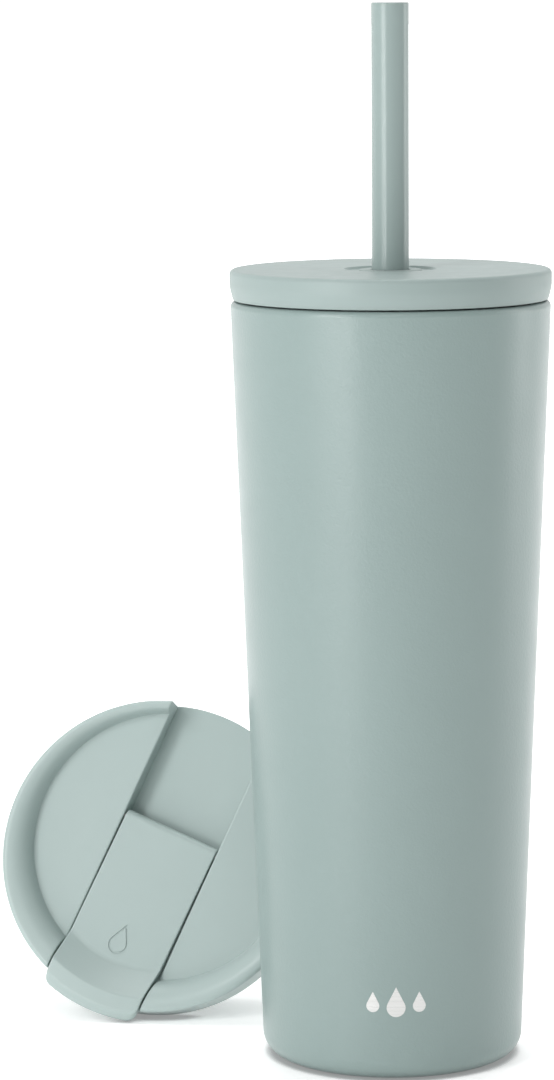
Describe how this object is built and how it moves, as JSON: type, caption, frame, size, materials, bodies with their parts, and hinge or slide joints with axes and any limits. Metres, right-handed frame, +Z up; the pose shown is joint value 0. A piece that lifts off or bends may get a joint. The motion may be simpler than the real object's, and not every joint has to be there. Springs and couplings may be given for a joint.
{
  "type": "insulated tumbler with lid",
  "caption": "Tall tapered double-wall steel tumbler with a press-in straw lid, a straight straw, and a spare flip lid with a hinged drinking tab leaning beside it.",
  "frame": {"origin": "middle of the tumbler's base, at the level that it stands on", "axes": "+Z up along the tumbler's axis; -Y is the front, and the flip lid stands on the -X and +Y side"},
  "size_m": [0.1576, 0.133, 0.294],
  "materials": {
    "powder_coat": "satin powder coat with a fine texture",
    "brushed_steel": "brushed along the circumference",
    "sealing_glass": "opaque fused bead",
    "lid_plastic": "satin",
    "straw_plastic": "semi-gloss",
    "silicone": "matte"
  },
  "bodies": {
    "tumbler": {"outer_shell": "powder_coat", "inner_liner": "brushed_steel", "shell_bottom": "brushed_steel", "base_cover": "powder_coat", "vacuum_seal": "sealing_glass", "getter": "brushed_steel"},
    "straw_lid": {"straw_lid_cap": "lid_plastic", "straw_lid_plug": "lid_plastic", "straw_lid_gasket": "silicone", "straw_grommet": "silicone"},
    "straw": {"straw": "straw_plastic"},
    "flip_lid": {"flip_lid_cap": "lid_plastic", "flip_lid_plug": "lid_plastic", "flip_lid_gasket": "silicone", "hinge_pin": "brushed_steel"},
    "flip_tab": {"flip_tab": "lid_plastic", "sip_seal": "silicone", "vent_seal": "silicone"}
  },
  "joints": [
    {"name": "straw_lid_lift", "type": "slide", "parent": "tumbler", "child": "straw_lid", "axis": [0, 0, 1], "range_m": [0, 0.21]},
    {"name": "straw_slide", "type": "slide", "parent": "straw_lid", "child": "straw", "axis": [0, 0, 1], "range_m": [0, 0.21]},
    {"name": "flip_lid_lift", "type": "slide", "parent": "tumbler", "child": "flip_lid", "axis": [0, 0, 1], "range_m": [0, 0.1]},
    {"name": "flip_tab_hinge", "type": "hinge", "parent": "flip_lid", "child": "flip_tab", "pos_m": [-0.06371, 0.05467, 0.05016], "axis": [-0.8932, 0.258, 0.3682], "range_deg": [0, 174]}
  ]
}
